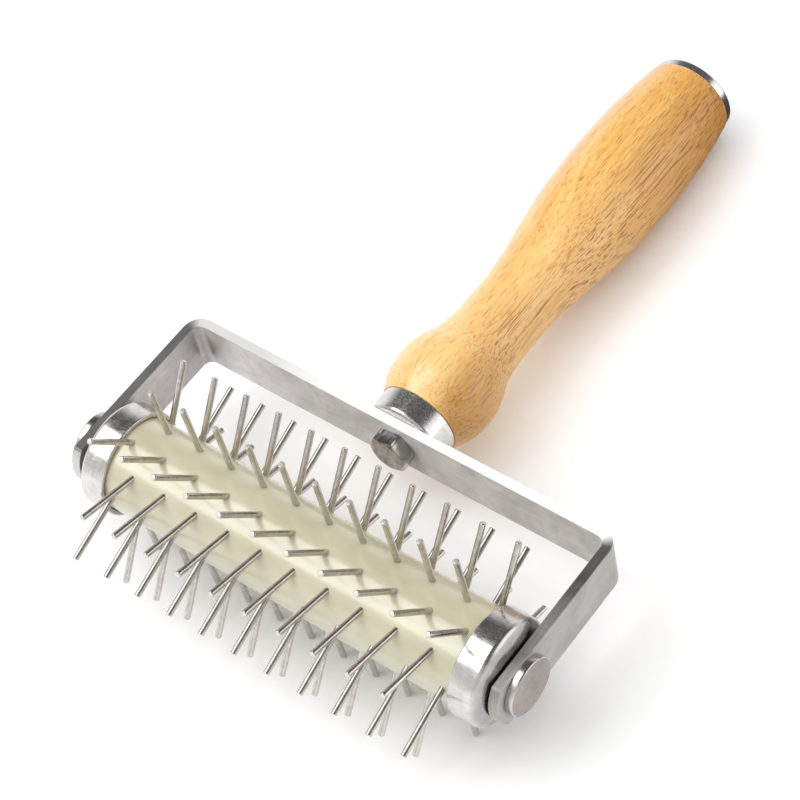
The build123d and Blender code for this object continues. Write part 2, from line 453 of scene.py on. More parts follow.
def strip_steel(name, lit_tones, shaded_tones, rough, arm_rough, bare=1.0, end_bare=1.0, left_arm=0.0, left_bar_shade=1.0):
    """Satin strip with painted light and shade: lit tones on the crossbar, shaded ones on the right arm, its grain
    along it.

    rough and arm_rough are the roughness on the crossbar and the arm. bare and end_bare say how
    metallic the crossbar and the right arm's end are. left_arm says how far the left arm takes the right arm's
    painted shade and roughness, and the last argument how far the crossbar's left end is darkened as painted
    shade.
    """
    material, tree, shader = finish(name, Metallic=1.0, Anisotropic=0.85, Anisotropic_Rotation=0.25)
    along, streaks = strip_grain(tree, shader)
    patches = noise(tree, even(0.13), 4.0, 0.6, 0.6)
    right = spread(tree, along, ARM_INSIDE - STRIP_BREAK, ARM_OUTSIDE)
    left = spread(tree, along, -ARM_OUTSIDE, STRIP_BREAK - ARM_INSIDE, left_arm, 0.0)
    arm = maths(tree, "MAXIMUM", right, left)
    streaked = spread(tree, streaks, *MOST, 0, 0.4)
    tone = maths(tree, "ADD", streaked, spread(tree, patches, 0.35, 0.7, 0, 0.6))
    # Lit tones on the crossbar, shaded tones on the arms: painted light and shade
    shade = mixed(tree, arm, mixed(tree, tone, *lit_tones), mixed(tree, tone, *shaded_tones))
    # The crossbar's left end is darkened: painted shade
    shade = mixed(tree, 1.0, shade, spread(tree, along, *BAR_SHADE_FADES, left_bar_shade, 1.0), "MULTIPLY")
    clouded = spread(tree, patches, *MOST, -0.05, 0.05)
    wear = maths(tree, "ADD", clouded, spread(tree, streaks, 0.4, 0.75, 0, 0.06))
    satin = maths(tree, "ADD", wear, spread(tree, arm, 0, 1, rough, arm_rough))
    feed(tree, shader, Base_Color=shade, Roughness=satin)
    if bare < 1.0:
        start, end = [ARM_OUTSIDE + place for place in ARM_WEARS]
        toward_end = spread(tree, along, start, end, 1.0, end_bare)
        metal = maths(tree, "MULTIPLY", spread(tree, arm, 0, 1, bare, 1.0), toward_end)
        feed(tree, shader, Metallic=metal)
    bump(tree, shader, streaks, 0.004)
    return material


def cup_face_painted_shade(tree, face):
    """Painted shade: 1 on the cups' bands, and the given darker tone on their faces."""
    across = add(tree, "ShaderNodeSeparateXYZ", {"Vector": spot(tree)}).outputs["X"]
    reach = maths(tree, "ABSOLUTE", maths(tree, "SUBTRACT", across, ROLLER_SHIFT * PER_MM), 0.0)
    return spread(tree, reach, CUP_BAND_END, CUP_FACE_SHADE_FULL, 1.0, face)


def polished_steel(name, haze, fine, face=1.0):
    """Bright pressed steel, clouded, with hairline scratches that dull part of it."""
    material, tree, shader = finish(name, Metallic=1.0)
    clouds = noise(tree, even(0.22), 4.0, 0.6, 0.8)
    hair = noise(tree, (0.5 * fine, 2.6 * fine, 2.6 * fine), 5.0, 0.7, 0.5)
    shade = mixed(tree, spread(tree, clouds, 0.35, 0.68), colour(200, 198, 197), colour(224, 221, 219))
    # The cups' faces are painted darker than their bands: painted shade
    if face < 1.0:
        shade = mixed(tree, 1.0, shade, cup_face_painted_shade(tree, face), "MULTIPLY")
    clouded = spread(tree, clouds, 0.4, 0.7, 0.13, 0.22)
    rough = maths(tree, "ADD", clouded, spread(tree, hair, 0.42, 0.66, 0, haze))
    feed(tree, shader, Base_Color=shade, Roughness=rough)
    bump(tree, shader, maths(tree, "ADD", clouds, maths(tree, "MULTIPLY", hair, 0.2)), 0.018)
    return material


def pin_steel():
    """Drawn wire: bright, with faint unevenness."""
    material, tree, shader = finish("drawn_wire", Metallic=1.0)
    cloud = noise(tree, even(0.7), 3.0, 0.6)
    shade = mixed(tree, spread(tree, cloud, *MOST), colour(188, 182, 176), colour(212, 207, 201))
    feed(tree, shader, Base_Color=shade, Roughness=spread(tree, cloud, *MOST, 0.1, 0.2))
    bump(tree, shader, noise(tree, even(1.4), 2.0), 0.003)
    return material


def cut_steel():
    """The pins' tips: the same wire, cut and dull."""
    material, tree, shader = finish("cut_wire", Metallic=1.0)
    grain = noise(tree, even(4.0), 3.0, 0.6)
    shade = mixed(tree, grain, colour(206, 202, 197), colour(240, 238, 235))
    feed(tree, shader, Base_Color=shade, Roughness=spread(tree, grain, *MOST, 0.42, 0.6))
    return material


def bolt_steel(name, dark, light):
    """Plated bolt: cloudy, with turning rings on the face."""
    material, tree, shader = finish(name, Metallic=1.0)
    cloud = noise(tree, even(0.45), 4.0, 0.6, 0.5)
    shade = mixed(tree, spread(tree, cloud, *MOST), dark, light)
    feed(tree, shader, Base_Color=shade, Roughness=spread(tree, cloud, *MOST, 0.1, 0.26))
    inputs = {"Vector": spot(tree), "Scale": 0.7, "Distortion": 0.6}
    rings = add(tree, "ShaderNodeTexWave", inputs, wave_type="RINGS", rings_direction="Y")
    bump(tree, shader, rings.outputs["Fac"], 0.03)
    return material


def brass():
    """Plain bearing brass."""
    material, tree, shader = finish("bearing_brass", Metallic=1.0)
    cloud = noise(tree, even(0.5), 3.0)
    shade = mixed(tree, spread(tree, cloud, *MOST), colour(150, 122, 72), colour(196, 164, 104))
    feed(tree, shader, Base_Color=shade, Roughness=spread(tree, cloud, *MOST, 0.25, 0.45))
    return material


def pale_plastic():
    """Pale greenish ivory moulding with a soft gloss."""
    gloss = {"Coat_Weight": 1.0, "Coat_Roughness": 0.23, "Coat_IOR": 1.9}
    material, tree, shader = finish("ivory_plastic", Metallic=0.0, **gloss)
    cloud = noise(tree, (0.05, 0.12, 0.12), 3.0, 0.5)
    shade = mixed(tree, spread(tree, cloud, *MOST), colour(190, 186, 154), colour(205, 201, 170))
    flow = noise(tree, (0.08, 0.7, 0.7), 4.0, 0.6)
    feed(tree, shader, Base_Color=shade, Roughness=spread(tree, flow, 0.3, 0.75, 0.28, 0.38))
    bump(tree, shader, flow, 0.012)
    return material


def pores(tree, warp, cell, size, seed):
    """Dark dashes of open pores, as long cells of the given stretch: 1 inside a pore."""
    stretched = add(tree, "ShaderNodeMapping", {"Vector": warp, "Scale": cell, "Location": seed})
    cells = add(tree, "ShaderNodeTexVoronoi", {"Vector": stretched.outputs["Vector"], "Scale": 1.0})
    return spread(tree, cells.outputs["Distance"], size * PORE_HEART, size, 1.0, 0.0)


def wood_warp(tree):
    """Place on the straight tool, swayed as grown wood is."""
    inputs = {"Vector": spot(tree, (0.035, 0.02, 0.035)), "Scale": 1.0, "Detail": 2.0}
    sway = add(tree, "ShaderNodeTexNoise", inputs).outputs["Color"]
    bend = add(tree, "ShaderNodeVectorMath", {0: sway, 1: (9.0, 3.0, 9.0)}, operation="MULTIPLY")
    inputs = {0: spot(tree), 1: bend.outputs[0]}
    return add(tree, "ShaderNodeVectorMath", inputs, operation="ADD").outputs[0]


def lined_shaded_side(tree, across, along, clouds):
    """1 on the wood's right side, which shows long lines and takes painted shade, and 0 on the rest."""
    swayed = maths(tree, "ADD", across, maths(tree, "MULTIPLY", clouds, 8.0))
    held_back = spread(tree, along, *SIDE_HELD_BACK, 4.4, 0.0)
    return spread(tree, maths(tree, "SUBTRACT", swayed, held_back), 10.0, 16.5)


def growth_rings(tree, warp):
    """How far each place lies in a dark ring."""
    ringed = add(tree, "ShaderNodeMapping", {"Vector": warp, "Location": (34.0, 0.0, 27.0)})
    inputs = {"Vector": ringed.outputs["Vector"], "Scale": 0.055, "Distortion": 1.6, "Detail": 2.0}
    rings = add(tree, "ShaderNodeTexWave", inputs, wave_type="RINGS", rings_direction="Y")
    return spread(tree, rings.outputs["Fac"], 0.2, 1.0, 0, 0.35)


def side_painted_shade(tree, along):
    """Painted shade of the right side: dark on the bulb, pale on the waist, dark again by the cap."""
    pale = spread(tree, along, *BULB_SIDE_ENDS)
    bulb = mixed(tree, pale, colour(184, 134, 72), colour(222, 176, 116))
    return mixed(tree, spread(tree, along, SIDE_DARKENS_FROM, WOOD_END), bulb, colour(178, 122, 56))


def wood_tone(tree, warp, along, lined_shaded, clouds, fibres):
    """Colour of the wood without its pores, with painted shade on its right side."""
    honey = mixed(tree, spread(tree, fibres, 0.34, 0.66), colour(234, 173, 86), colour(252, 210, 130))
    ringed = mixed(tree, growth_rings(tree, warp), honey, colour(222, 158, 76))
    stains = spread(tree, noise(tree, (0.6, 0.09, 0.6), 4.0, 0.65, 0.8), 0.5, 0.66, 0, 0.52)
    stained = mixed(tree, stains, ringed, colour(212, 140, 52))
    clouded = mixed(tree, spread(tree, clouds, 0.48, 0.62, 0, 0.35), stained, colour(212, 154, 78))
    pale = spread(tree, along, *PALE_ENDS, 0.8, 0.0)
    pale = maths(tree, "MULTIPLY", pale, spread(tree, stains, 0.0, 0.52, 1.0, 0.22))
    lightened = mixed(tree, pale, clouded, colour(252, 208, 138))
    # Darker towards the cap end
    toward_end = mixed(tree, spread(tree, along, CAP_END_DARKENS_FROM, WOOD_END, 0, 0.4), lightened, colour(214, 156, 74))
    # The right side takes its painted shade
    return mixed(tree, maths(tree, "MULTIPLY", lined_shaded, 0.8), toward_end, side_painted_shade(tree, along))


def wood_marks(tree, warp, along, lined_shaded):
    """1 in the dark pores, and in the long lines of the right side."""
    long_pores = pores(tree, warp, (1.5, 0.09, 1.5), 0.24, (3.0, 1.0, 2.0))
    middle_pores = pores(tree, warp, (1.7, 0.2, 1.7), 0.26, (7.0, 5.0, 4.0))
    short_pores = pores(tree, warp, (2.0, 0.55, 2.0), 0.27, (1.0, 8.0, 6.0))
    marks = maths(tree, "MAXIMUM", long_pores, maths(tree, "MULTIPLY", middle_pores, 0.75))
    marks = maths(tree, "MAXIMUM", marks, maths(tree, "MULTIPLY", short_pores, 0.22))
    dense = spread(tree, noise(tree, (0.09, 0.03, 0.09), 3.0), 0.32, 0.56, 0.45, 1.0)
    marks = maths(tree, "MULTIPLY", marks, dense)
    marks = maths(tree, "MULTIPLY", marks, spread(tree, lined_shaded, 0, 1, 0.95, 0.9))
    lines = spread(tree, noise(tree, (2.6, 0.035, 2.6), 2.0, 0.5, 0.3), 0.54, 0.64)
    marks = maths(tree, "MAXIMUM", marks, maths(tree, "MULTIPLY", lines, lined_shaded))
    return maths(tree, "MULTIPLY", marks, spread(tree, along, *MARKS_DEEPEN, 0.72, 1.0))


def lacquered_wood():
    """Open-pored pale wood under an amber lacquer: rings, fibres and pores run along the handle."""
    lacquer = {"Specular_IOR_Level": 0.12, "Coat_IOR": 1.7, "Coat_Roughness": 0.24}
    material, tree, shader = finish("amber_wood", **lacquer)
    warp = wood_warp(tree)
    sides = add(tree, "ShaderNodeSeparateXYZ", {"Vector": warp})
    along = sides.outputs["Y"]
    fibres = noise(tree, (2.0, 0.05, 2.0), 5.0, 0.66)
    clouds = noise(tree, (0.06, 0.02, 0.06), 3.0, 0.5)
    lined_shaded = lined_shaded_side(tree, sides.outputs["X"], along, clouds)
    marks = wood_marks(tree, warp, along, lined_shaded)
    tone = wood_tone(tree, warp, along, lined_shaded, clouds, fibres)
    dark = mixed(tree, lined_shaded, colour(160, 88, 18), colour(138, 82, 32))
    shade = mixed(tree, maths(tree, "MULTIPLY", marks, 0.76), tone, dark)
    rough = spread(tree, fibres, *MOST, 0.36, 0.5)
    feed(tree, shader, Base_Color=shade, Roughness=rough, Coat_Weight=spread(tree, lined_shaded, 0, 1, 1.0, 0.35))
    relief = maths(tree, "SUBTRACT", maths(tree, "MULTIPLY", fibres, 0.25), marks)
    bump(tree, shader, relief, 0.05, 0.7)
    return material


def floor_white():
    """Plain white paper, which far from the tool glows a little so that the background stays white."""
    paper = {"Roughness": 0.9, "Specular_IOR_Level": 0.1, "Emission_Color": (1, 1, 1, 1)}
    material, tree, shader = finish("white_paper", **paper)
    grain = noise(tree, even(0.3), 2.0)
    where = add(tree, "ShaderNodeTexCoord").outputs["Object"]
    away = add(tree, "ShaderNodeVectorMath", {0: where}, operation="LENGTH").outputs["Value"]
    glow = spread(tree, away, *FLOOR_GLOW_PLACES, 0.0, FLOOR_GLOW)
    shade = mixed(tree, grain, colour(250, 250, 250), colour(253, 253, 253))
    feed(tree, shader, Base_Color=shade, Emission_Strength=glow)
    return material


# ---------------------------------------------------------------- pieces of the roller


def resting_direction():
    """Direction of the first row of pins, in degrees, with two rows of tips on the table."""
    lean = asin(PIN_OFFSET / CORE_RADIUS)
    tip = CORE_RADIUS * cos(lean) + PIN_LENGTH
    turn = radians(360 / ROW_COUNT)
    first = Vector((tip, PIN_RADIUS - PIN_OFFSET))
    second = Matrix.Rotation(turn, 2) @ Vector((tip, -PIN_RADIUS - PIN_OFFSET))
    chord = second - first
    return -degrees(atan2(chord.y, chord.x)), tip


def pin_row(row, direction, tip, wires):
    """One row of round pins, each with a rounded rim at its tip."""
    start = tip - PIN_LENGTH - PIN_DEPTH
    wire = [(start, 0), (start, PIN_RADIUS), (tip, PIN_RADIUS), (tip, 0)]
    outline = rounded(wire, {2: PIN_TIP_ROUND}, PIN_TIP_STEPS)
    one = bmesh.new()
    spun(one, outline, "y", PIN_SIDES)
    for face in one.faces:
        face.material_index = 1 if face.normal.y > SQUARE_ON else 0
    pattern = bpy.data.meshes.new("pin_pattern")
    one.to_mesh(pattern)
    one.free()
    count = PIN_COUNT - row % 2
    first = -(count - 1) / 2 * PIN_PITCH
    turn = Matrix.Rotation(radians(direction + DROP + row * 360 / ROW_COUNT), 4, "X")
    bm = bmesh.new()
    for index in range(count):
        copy = bmesh.new()
        copy.from_mesh(pattern)
        shift = Vector((first + index * PIN_PITCH, 0, -PIN_OFFSET)) * MM
        bmesh.ops.transform(copy, matrix=turn @ Matrix.Translation(shift), verts=copy.verts)
        moved = bpy.data.meshes.new("pin_moved")
        copy.to_mesh(moved)
        bm.from_mesh(moved)
        copy.free()
        bpy.data.meshes.remove(moved)
    bpy.data.meshes.remove(pattern)
    made = piece(f"pins_{row + 1:02d}", bm, wires)
    place_on(made, "roller", "pin_steel", f"pin_row_{row + 1:02d}")


def core(plastic):
    """Plastic cylinder with its collars inside the cups and seats for the bushes."""
    inner = CUP_MOUTH + CUP_LIP
    collar = CUP_EDGE - CUP_WALL
    seat = BUSH_NOSE - BUSH_LENGTH
    points = [(-inner, CORE_RADIUS), (inner, CORE_RADIUS), (inner, CUP_INSIDE), (collar, CUP_INSIDE)]
    points += [(collar, BUSH_RADIUS), (seat, BUSH_RADIUS), (seat, CORE_BORE), (-seat, CORE_BORE)]
    points += [(-seat, BUSH_RADIUS), (-collar, BUSH_RADIUS), (-collar, CUP_INSIDE), (-inner, CUP_INSIDE)]
    made = turned("core", rounded(points, {3: CORE_SEAT, 10: CORE_SEAT}), "x", plastic)
    place_on(made, "roller", "pale_plastic", "roller_core")


def cup_outline():
    """Pressed cup: a lip at the mouth, a straight band and a face that swells to a flat crown."""
    swell = []
    for step in range(SWELL_STEPS + 1):
        turn = pi / 2 * step / SWELL_STEPS
        place = CUP_BAND_END + (CUP_FACE - CUP_BAND_END) * sin(turn)
        swell.append((place, CUP_CROWN + (CUP_RADIUS - CUP_CROWN) * cos(turn)))
    inside = [
        (CUP_FACE, BUSH_RADIUS),
        (CUP_FACE - CUP_WALL, BUSH_RADIUS),
        (CUP_FACE - CUP_WALL, CUP_CROWN - CUP_WALL),
        (CUP_EDGE - CUP_WALL, CUP_INSIDE),
        (CUP_MOUTH, CUP_INSIDE),
    ]
    last = len(swell) + len(inside)
    lip = [(CUP_MOUTH, CUP_RADIUS)]
    rims = {0: CUP_RIM_ROUND, last: CUP_RIM_ROUND_INSIDE}
    return rounded(lip + swell + inside, rims, PRESSED_STEPS)


def cups(polish):
    """The two cups, alike and facing apart."""
    outline = cup_outline()
    right = turned("cup_shell_right", outline, "x", polish)
    place_on(right, "roller", "cup_steel", "cup_right")
    left = turned("cup_shell_left", mirrored(outline), "x", polish)
    place_on(left, "roller", "cup_steel", "cup_left")


# ---------------------------------------------------------------- pieces of the frame


def head_points():
    """Rim and domed face of an axle head."""
    rim = ARM_OUTSIDE + HEAD_SIDE
    face = rim + HEAD_DOME
    shares = [step / DOME_STEPS for step in range(DOME_STEPS + 1)]
    swell = [(face - HEAD_DOME * share**2, (HEAD_RADIUS - HEAD_ROUND) * share) for share in shares]
    return rim, swell


def head_outline(shaft):
    """Head with the shaft given by its (place, radius) points from the arm inwards."""
    rim, swell = head_points()
    points = swell[:-1] + [(rim, HEAD_RADIUS), (ARM_OUTSIDE, HEAD_RADIUS)] + shaft
    count = len(swell) - 1
    return rounded(points, {count: HEAD_ROUND, count + 1: HEAD_BACK_ROUND})


def axle_pieces(metals):
    """Shaft with its right head, and the left head; their faces take a darker copy of the head steel, as painted
    shade.
    """
    shaft = [(ARM_OUTSIDE, AXLE_RADIUS), (-ARM_OUTSIDE, AXLE_RADIUS), (-ARM_OUTSIDE, 0)]
    right = turned("axle_and_head", head_outline(shaft), "x", metals[0])
    place_on(right, "frame", "head_steel", "axle")
    left = turned("left_head", mirrored(head_outline([(ARM_OUTSIDE, 0)])), "x", metals[0])
    place_on(left, "frame", "head_steel", "axle_end_head")
    for made in (right, left):
        made.data.materials.append(metals[1])
        for polygon in made.data.polygons:
            polygon.material_index = 1 if abs(polygon.normal.x) > SQUARE_ON else 0


def arc_points(centre, radius, start, end, steps):
    """Points on an arc between two angles in radians."""
    turns = [start + (end - start) * step / steps for step in range(steps + 1)]
    return [(centre + radius * cos(turn), radius * sin(turn)) for turn in turns]


def strip_layout():
    """Places along the strip's middle line, from the middle of the crossbar."""
    middle = STRIP_THICKNESS / 2
    bend = STRIP_BEND + middle
    straight = ARM_INSIDE + middle - bend
    arm_start = straight + bend * pi / 2
    return middle, bend, straight, arm_start, CROSSBAR_OUTSIDE - middle


def strip_loops():
    """Outline and holes of the strip before it is bent."""
    middle, bend, straight, arm_start, top = strip_layout()
    axle_place = arm_start + top - bend
    half = asin(STRIP_WIDTH / 2 / ARM_END_ROUND)
    end = arc_points(axle_place - ARM_END_CENTRE, ARM_END_ROUND, -half, half, ARM_END_STEPS)
    loops = [end + [(-place, -across) for place, across in end]]
    for place, radius in ((axle_place, AXLE_HOLE), (-axle_place, AXLE_HOLE), (0, BOLT_HOLE)):
        loops.append(arc_points(place, radius, 0, 2 * pi, HOLE_SIDES)[:-1])
    return loops


def bent(point):
    """Where a point of the flat strip comes to lie when the strip is bent."""
    middle, bend, straight, arm_start, top = strip_layout()
    along = abs(point.x) * PER_MM
    out = point.y * PER_MM
    side = 1 if point.x > 0 else -1
    if along <= straight:
        place = (along, top + out)
    elif along <= arm_start:
        turn = (along - straight) / bend
        place = (straight + (bend + out) * sin(turn), top - bend + (bend + out) * cos(turn))
    else:
        place = (straight + bend + out, top - bend - (along - arm_start))
    return Vector((side * place[0] * MM, place[1] * MM, point.z))


def strip(metals):
    """Strip cut flat, drilled, its edges broken, and then bent to a U."""
    middle, bend, straight, arm_start, top = strip_layout()
    bm = bmesh.new()
    edges = []
    for loop in strip_loops():
        verts = [bm.verts.new(Vector((along, -middle, across)) * MM) for along, across in loop]
        edges += [bm.edges.new(pair) for pair in zip(verts, verts[1:] + verts[:1])]
    bmesh.ops.triangle_fill(bm, edges=edges, use_beauty=True)
    for step in range(BEND_STEPS + 1):
        place = (straight + (arm_start - straight) * step / BEND_STEPS) * MM
        for side in (-place, place):
            everything = bm.verts[:] + bm.edges[:] + bm.faces[:]
            bmesh.ops.bisect_plane(bm, geom=everything, plane_co=(side, 0, 0), plane_no=(1, 0, 0))
    grown = bmesh.ops.extrude_face_region(bm, geom=bm.faces[:])
    lifted = [item for item in grown["geom"] if isinstance(item, bmesh.types.BMVert)]
    bmesh.ops.translate(bm, vec=(0, STRIP_THICKNESS * MM, 0), verts=lifted)
    bmesh.ops.recalc_face_normals(bm, faces=bm.faces)
    rims = [edge for edge in bm.edges if edge.calc_face_angle(0) > radians(SMOOTH_ANGLE)]
    broken = {"offset": STRIP_BREAK * MM, "segments": STRIP_BREAK_STEPS, "profile": 0.5}
    bmesh.ops.bevel(bm, geom=rims, affect="EDGES", **broken)
    grain = bm.loops.layers.uv.new(GRAIN)
    for face in bm.faces:
        face.material_index = 1 if abs(face.normal.z) > SQUARE_ON_STRIP else 0
        for loop in face.loops:
            place = loop.vert.co * PER_MM
            loop[grain].uv = (place.x, place.y + place.z)
    for vert in bm.verts:
        vert.co = bent(vert.co)
    made = piece("bent_strip", bm, metals)
    place_on(made, "frame", "strip_steel", "yoke")


def hexagon_ring(bm, height, reach=1.0, fall=0.0):
    """Ring of points on the hexagon's sides; fall lowers it where it stands out past the flats."""
    ring = []
    flat = BOLT_FLATS / 2
    for step in range(HEXAGON_STEPS):
        turn = 2 * pi * step / HEXAGON_STEPS
        away = (turn + pi / 6) % (pi / 3) - pi / 6
        radius = flat / cos(away)
        spin = turn + radians(BOLT_TURN)
        place = (radius * reach * sin(spin), height + (radius - flat) * fall, radius * reach * cos(spin))
        ring.append(bm.verts.new(Vector(place) * MM))
    return ring


def round_ring(bm, height, radius):
    """Ring of points on a circle, in step with those of the hexagon."""
    turns = [2 * pi * step / HEXAGON_STEPS + radians(BOLT_TURN) for step in range(HEXAGON_STEPS)]
    return [bm.verts.new(Vector((radius * sin(turn), height, radius * cos(turn))) * MM) for turn in turns]


def skin(bm, rings):
    """Faces between rings that follow each other, and lids on the first and last."""
    for lower, upper in zip(rings, rings[1:]):
        for step in range(len(lower)):
            after = (step + 1) % len(lower)
            bm.faces.new((lower[step], lower[after], upper[after], upper[step]))
    bm.faces.new(rings[0])
    bm.faces.new(rings[-1])
    bmesh.ops.recalc_face_normals(bm, faces=bm.faces)


def bolt(metals):
    """Hexagon head with bevelled corners and a slightly dished face, on its shank."""
    face = CROSSBAR_INSIDE - BOLT_HEAD
    flat = BOLT_FLATS / 2
    tip = CROSSBAR_INSIDE + BOLT_LENGTH
    slope = tan(radians(BOLT_BEVEL))
    bm = bmesh.new()
    rings = [round_ring(bm, face + depth, flat * share) for depth, share in BOLT_DISH]
    rings += [
        hexagon_ring(bm, face + flat * BOLT_BEVEL_WIDTH * slope, 1.0, slope),
        hexagon_ring(bm, CROSSBAR_INSIDE - BOLT_FOOT),
        hexagon_ring(bm, CROSSBAR_INSIDE, BOLT_FOOT_SHARE),
        round_ring(bm, CROSSBAR_INSIDE, BOLT_RADIUS),
        round_ring(bm, tip - BOLT_TIP, BOLT_RADIUS),
        round_ring(bm, tip, BOLT_RADIUS - BOLT_TIP),
    ]
    skin(bm, rings)
    for side in bm.faces:
        side.material_index = 1 if side.normal.y < -SQUARE_ON_BOLT else 0
    made = piece("hexagon_bolt", bm, metals)
    place_on(made, "frame", "bolt_steel", "handle_bolt")


def ferrule(polish):
    """Pressed ferrule, rounded at its floor and a little wider at its rim."""
    points = [
        (CROSSBAR_OUTSIDE, BOLT_HOLE),
        (CROSSBAR_OUTSIDE, FERRULE_BASE),
        (SHOULDER, FERRULE_RIM),
        (SHOULDER, FERRULE_RIM - FERRULE_WALL),
        (CROSSBAR_OUTSIDE + FERRULE_FLOOR, FERRULE_BASE - FERRULE_WALL),
        (CROSSBAR_OUTSIDE + FERRULE_FLOOR, BOLT_HOLE),
    ]
    outline = rounded(points, {1: FERRULE_ROUND, 2: FERRULE_RIM_ROUND}, PRESSED_STEPS)
    made = turned("ferrule_shell", outline, "y", polish)
    place_on(made, "frame", "ferrule_steel", "ferrule")


def belly(place):
    """Radius of the belly's long arc at a place from the shoulder."""
    return BELLY_RADIUS - BELLY_CURVE + sqrt(BELLY_CURVE**2 - (place - BELLY_PLACE) ** 2)


def circle_through(first, second, third):
    """Centre and radius of the circle through three (place, radius) points."""
    ax, ay = first
    bx, by = second
    cx, cy = third
    twice = 2 * (ax * (by - cy) + bx * (cy - ay) + cx * (ay - by))
    a, b, c = ax**2 + ay**2, bx**2 + by**2, cx**2 + cy**2
    x = (a * (by - cy) + b * (cy - ay) + c * (ay - by)) / twice
    y = (a * (cx - bx) + b * (ax - cx) + c * (bx - ax)) / twice
    return Vector((x, y)), hypot(ax - x, ay - y)


def hermite(start, start_slope, end, end_slope, steps):
    """Smooth run between two (place, radius) points with the given slopes, without its last point."""
    length = end[0] - start[0]
    run = []
    for step in range(steps):
        t = step / steps
        radius = (2 * t**3 - 3 * t**2 + 1) * start[1] + (t**3 - 2 * t**2 + t) * length * start_slope
        radius += (3 * t**2 - 2 * t**3) * end[1] + (t**3 - t**2) * length * end_slope
        run.append((start[0] + length * t, radius))
    return run


def bulb_run(start, end):
    """The bulb's arc without its last point, and its slope there."""
    centre, radius = circle_through(start, (BULB_PLACE, BULB_RADIUS), end)
    run = []
    for step in range(BULB_STEPS):
        place = start[0] + (end[0] - start[0]) * step / BULB_STEPS
        run.append((place, centre.y + sqrt(radius**2 - (place - centre.x) ** 2)))
    return run, -(end[0] - centre.x) / (end[1] - centre.y)


def handle_profile():
    """The turned outline of the wood, as (place from the shoulder, radius) points."""
    bulb_end = (BULB_END_PLACE, BULB_END_RADIUS)
    waist = (WAIST_PLACE, WAIST_RADIUS)
    outline, bulb_slope = bulb_run((0.0, FERRULE_RIM + SHOULDER_STEP), bulb_end)
    outline += hermite(bulb_end, bulb_slope, waist, 0.0, WAIST_STEPS)
    before = BELLY_START - BELLY_PLACE
    slope = -before / sqrt(BELLY_CURVE**2 - before**2)
    outline += hermite(waist, 0.0, (BELLY_START, belly(BELLY_START)), slope, WAIST_STEPS)
    length = HANDLE_LENGTH - HANDLE_END_ROUND - BELLY_START
    places = [BELLY_START + length * step / BELLY_STEPS for step in range(BELLY_STEPS + 1)]
    return outline + [(place, belly(place)) for place in places]


def handle(wood):
    """Turned wood with its spigot in the ferrule and a seat for the cap."""
    outline = [(SHOULDER + place, radius) for place, radius in handle_profile()]
    spigot = CROSSBAR_OUTSIDE + FERRULE_FLOOR
    end = belly(HANDLE_LENGTH) - HANDLE_END_ROUND
    middle = HANDLE_END_ROUND * HANDLE_END_MIDDLE
    outline += [(WOOD_END - HANDLE_END_ROUND + middle, end + middle), (WOOD_END, end)]
    outline += [(WOOD_END, CAP_SEAT), (CAP_FACE - CAP_WALL, CAP_SEAT), (CAP_FACE - CAP_WALL, 0), (spigot, 0)]
    outline += [(spigot, FERRULE_BASE - FERRULE_WALL), (SHOULDER, FERRULE_RIM - FERRULE_WALL)]
    made = turned("turned_handle", outline, "y", wood, HANDLE_SIDES)
    place_on(made, "frame", "lacquered_wood", "handle")


def end_cap(polish):
    """Thin pressed cap with a rounded edge."""
    points = [(CAP_FACE, 0), (CAP_FACE, CAP_RADIUS), (WOOD_END, CAP_RADIUS), (WOOD_END, CAP_SEAT)]
    points += [(CAP_FACE - CAP_WALL, CAP_SEAT), (CAP_FACE - CAP_WALL, 0)]
    made = turned("cap_shell", rounded(points, {1: CAP_ROUND, 2: CAP_RIM_ROUND}), "y", polish)
    place_on(made, "frame", "cap_steel", "end_cap")


# ---------------------------------------------------------------- stage


def stage_piece(name, bm, material):
    """Piece of the stage made from the mesh being edited, in metres."""
    mesh = bpy.data.meshes.new(name)
    bm.to_mesh(mesh)
    bm.free()
    mesh.materials.append(material)
    made = bpy.data.objects.new(name, mesh)
    scene.collection.objects.link(made)
    return made


def sheet(name, centre, reach, material):
    """Flat square piece of the stage."""
    x, y, height = centre
    bm = bmesh.new()
    corners = [bm.verts.new((x + right * reach, y + up * reach, height)) for right, up in SQUARE_CORNERS]
    bm.faces.new(corners)
    return stage_piece(name, bm, material)


def only_gloss_sees(made):
    """Hides a piece of the stage from everything but gloss."""
    made.visible_camera = False
    made.visible_diffuse = False
    made.visible_shadow = False


def floor():
    """Plain white floor."""
    sheet("floor", (0, 0, 0), FLOOR_REACH, floor_white())


def dark_card():
    """Dark card on the floor by the handle's end that only gloss sees, fading out at its rim."""
    material, tree, shader = finish("card_cloth", Roughness=1.0)
    weave = noise(tree, even(0.2), 2.0)
    where = add(tree, "ShaderNodeTexCoord").outputs["Object"]
    away = add(tree, "ShaderNodeVectorMath", {0: where, 1: CARD_CENTRE}, operation="DISTANCE")
    fade = spread(tree, away.outputs["Value"], CARD_DARK, CARD_REACH, 1.0, 0.0)
    feed(tree, shader, Base_Color=mixed(tree, weave, colour(56, 56, 60), colour(68, 68, 72)), Alpha=fade)
    only_gloss_sees(sheet("dark_card", CARD_CENTRE, CARD_REACH, material))


